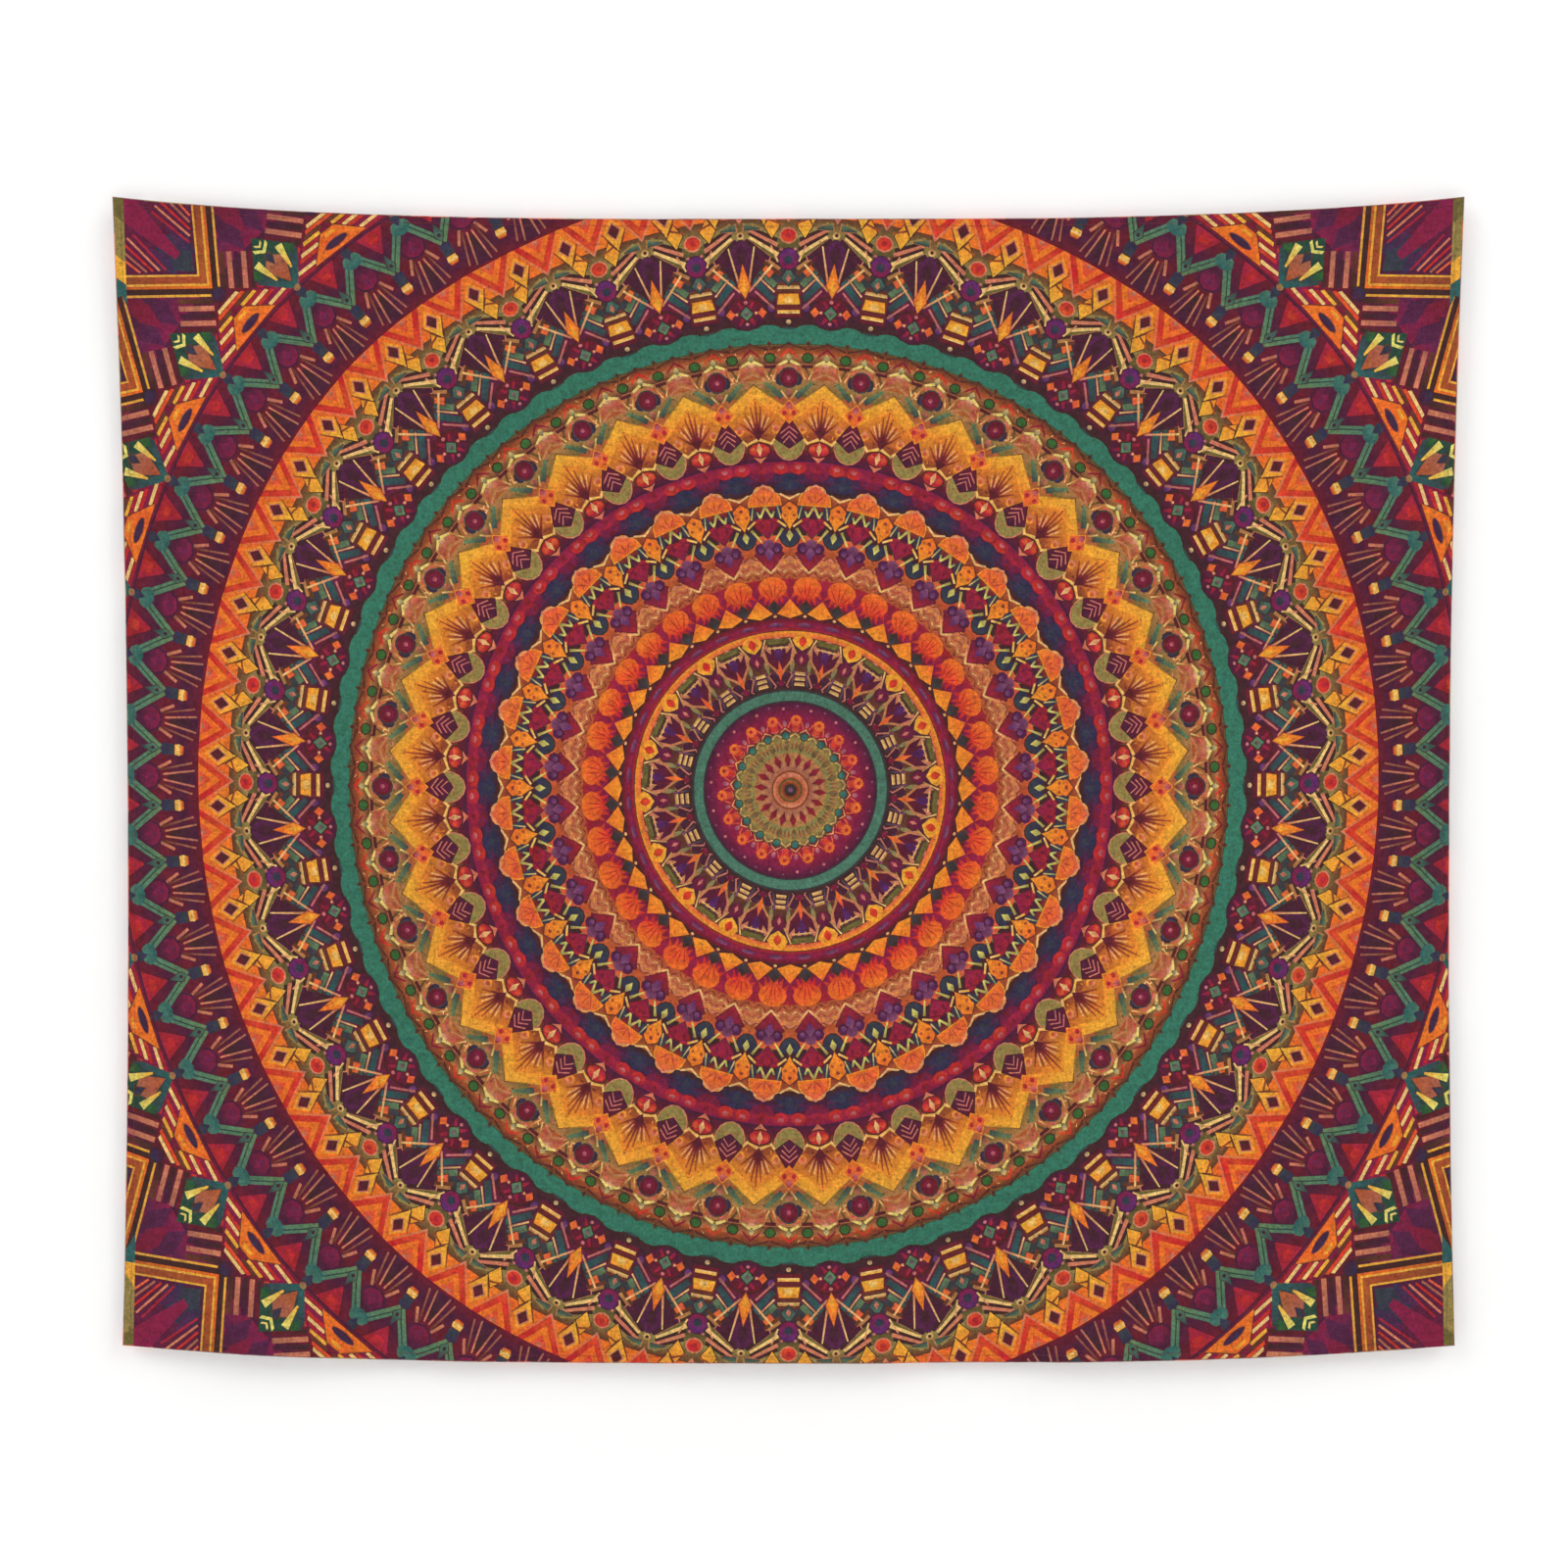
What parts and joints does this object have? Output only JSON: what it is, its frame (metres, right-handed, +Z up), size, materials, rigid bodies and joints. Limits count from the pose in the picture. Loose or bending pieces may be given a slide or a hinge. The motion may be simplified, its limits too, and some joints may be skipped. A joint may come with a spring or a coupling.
{
  "type": "tapestry wall hanging",
  "caption": "Thin printed rectangular cloth with hemmed edges, hung by two tape loops behind its top corners on small adhesive wall hooks.",
  "frame": {"origin": "on the wall plane, midway between the two hook pads", "axes": "+X along the cloth's width, to the right as seen from the room; +Y into the wall; +Z up"},
  "size_m": [1.524, 0.0154, 1.315],
  "materials": {
    "printed_cloth": "thin plain-weave polyester with a dyed print, matt with a faint sheen",
    "cloth_back": "the same cloth's unprinted side, pale with the print showing faintly through",
    "seam_thread": "spun polyester sewing thread, dyed to go with the print's edge",
    "loop_tape": "natural cotton twill tape",
    "tack_thread": "dense satin bar tack",
    "hook_plastic": "moulded white plastic, satin",
    "adhesive_foam": "closed-cell foam with adhesive on both faces"
  },
  "bodies": {
    "wall_hooks": {"hook_left": "hook_plastic", "hook_right": "hook_plastic", "hook_pad_left": "adhesive_foam", "hook_pad_right": "adhesive_foam"},
    "loops": {"loop_left": "loop_tape", "loop_right": "loop_tape", "loop_tacks_left": "tack_thread", "loop_tacks_right": "tack_thread"},
    "upper_half": {"cloth_upper": "printed_cloth", "hem_top": "printed_cloth", "hem_left_upper": "printed_cloth", "hem_right_upper": "printed_cloth", "needle_thread_top": "seam_thread", "bobbin_thread_top": "seam_thread", "needle_thread_left_upper": "seam_thread", "bobbin_thread_left_upper": "seam_thread", "needle_thread_right_upper": "seam_thread", "bobbin_thread_right_upper": "seam_thread"},
    "lower_half": {"cloth_lower": "printed_cloth", "hem_bottom": "printed_cloth", "hem_left_lower": "printed_cloth", "hem_right_lower": "printed_cloth", "needle_thread_bottom": "seam_thread", "bobbin_thread_bottom": "seam_thread", "needle_thread_left_lower": "seam_thread", "bobbin_thread_left_lower": "seam_thread", "needle_thread_right_lower": "seam_thread", "bobbin_thread_right_lower": "seam_thread"}
  },
  "joints": [
    {"name": "lift_off", "type": "slide", "parent": "wall_hooks", "child": "loops", "axis": [0, 0, 1], "range_m": [0, 0.014]},
    {"name": "swing_out", "type": "hinge", "parent": "loops", "child": "upper_half", "pos_m": [0, -0.0155, 0.018], "axis": [-1, 0, 0], "range_deg": [0, 90]},
    {"name": "fold_up", "type": "hinge", "parent": "upper_half", "child": "lower_half", "pos_m": [0, -0.0155, -0.6295], "axis": [-1, 0, 0], "range_deg": [0, 170]}
  ]
}
